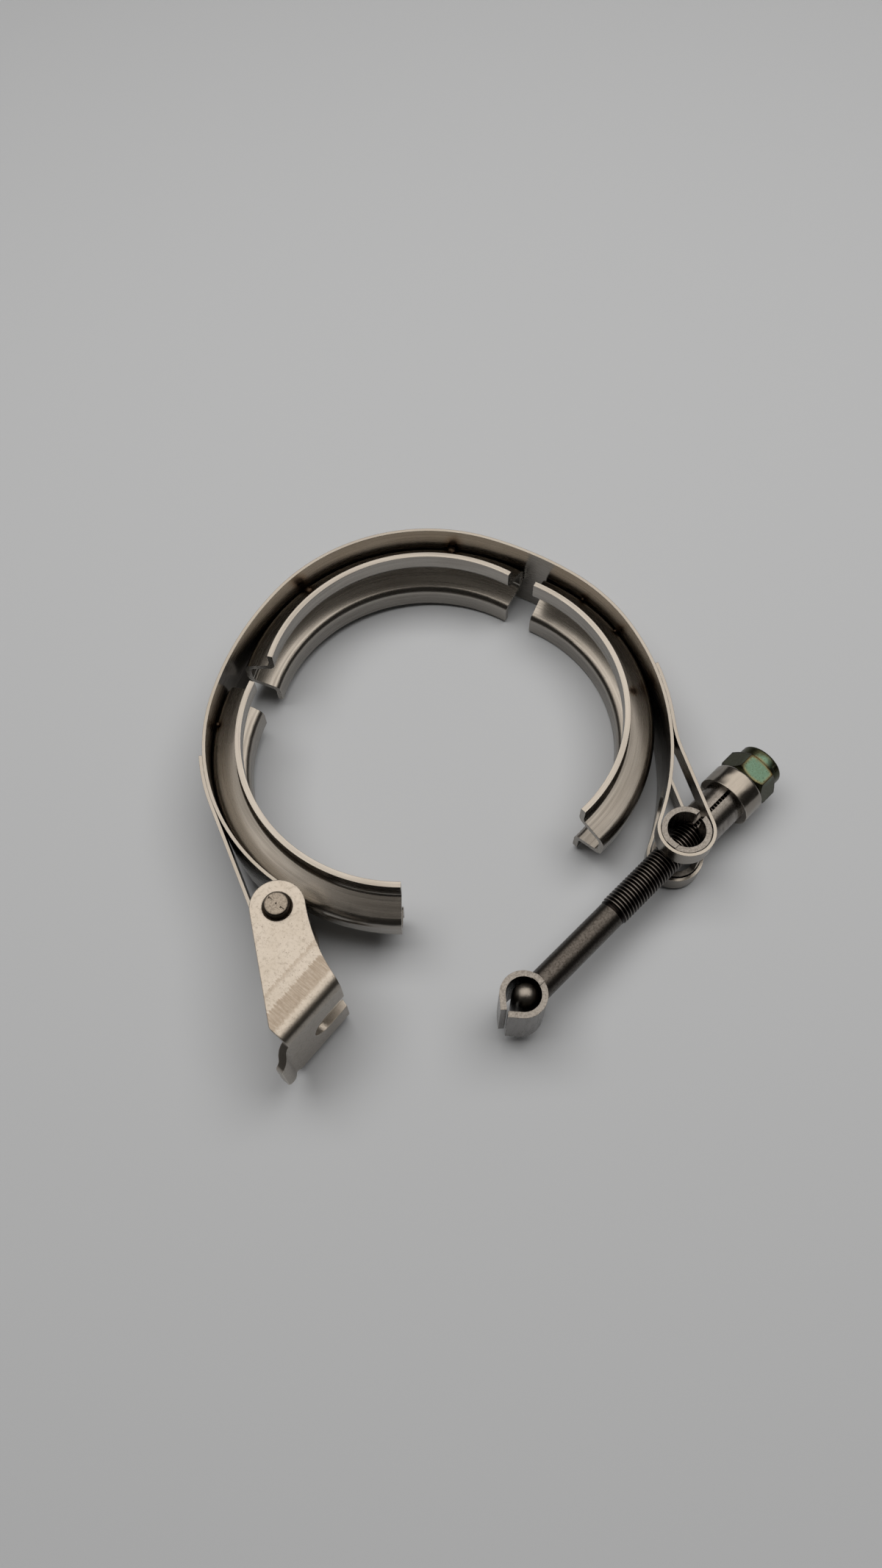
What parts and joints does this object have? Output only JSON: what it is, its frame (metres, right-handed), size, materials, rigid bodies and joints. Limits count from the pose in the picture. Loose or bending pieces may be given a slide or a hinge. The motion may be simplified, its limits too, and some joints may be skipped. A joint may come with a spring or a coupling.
{
  "type": "v band clamp",
  "caption": "Quick-release stainless band clamp: V retainers inside a strap, hinged slotted latch, swivelling trunnion and T-bolt with lock nut",
  "frame": {"origin": "centre of the top retainer's arc, at the middle of the band's width", "axes": "+Z is the axis of the clamp; +Y points from the mouth of the clamp to the back of its band; +X to the trunnion's side"},
  "size_m": [0.1523, 0.1529, 0.034],
  "materials": {
    "rolled_stainless": "brushed along the strap",
    "pressed_stainless": "drawn, with fine lines round the clamp",
    "tumbled_stainless": "tumbled, fine grained and scuffed",
    "stamped_stainless": "stamped, with sheared edges",
    "drawn_stainless": "drawn, softly dented",
    "pin_steel": "turned, grained ends",
    "bushing_steel": "turned",
    "dark_bolt_steel": "grained, dark in the thread",
    "yellow_zinc": "yellow zinc chromate"
  },
  "bodies": {
    "band": {"strap": "rolled_stainless", "retainer_top": "pressed_stainless", "retainer_right": "pressed_stainless", "retainer_left": "pressed_stainless", "latch_bushing": "bushing_steel"},
    "lever": {"latch": "tumbled_stainless", "latch_pin": "pin_steel"},
    "swivel": {"trunnion": "stamped_stainless", "ferrule": "drawn_stainless"},
    "bolt": {"t_bolt": "dark_bolt_steel", "t_head": "stamped_stainless"},
    "lock_nut": {"nut": "yellow_zinc"}
  },
  "joints": [
    {"name": "latch_hinge", "type": "hinge", "parent": "band", "child": "lever", "pos_m": [-0.03625, -0.06245, 0], "axis": [0, 0, 1], "range_deg": [-135, 48]},
    {"name": "trunnion_swivel", "type": "hinge", "parent": "band", "child": "swivel", "pos_m": [0.06471, -0.04289, 0], "axis": [0, 0, 1], "range_deg": [-22, 22]},
    {"name": "bolt_slide", "type": "slide", "parent": "swivel", "child": "bolt", "axis": [0.7254, 0.6884, 0], "range_m": [0, 0.044]},
    {"name": "nut_spin", "type": "hinge", "parent": "swivel", "child": "lock_nut", "pos_m": [0.06471, -0.04289, 0], "axis": [0.7254, 0.6884, 0], "range_deg": [-15900, 60]}
  ],
  "couplings": [
    {"joint": "nut_spin", "follows": "bolt_slide", "rad_per_m": -6283.2}
  ]
}
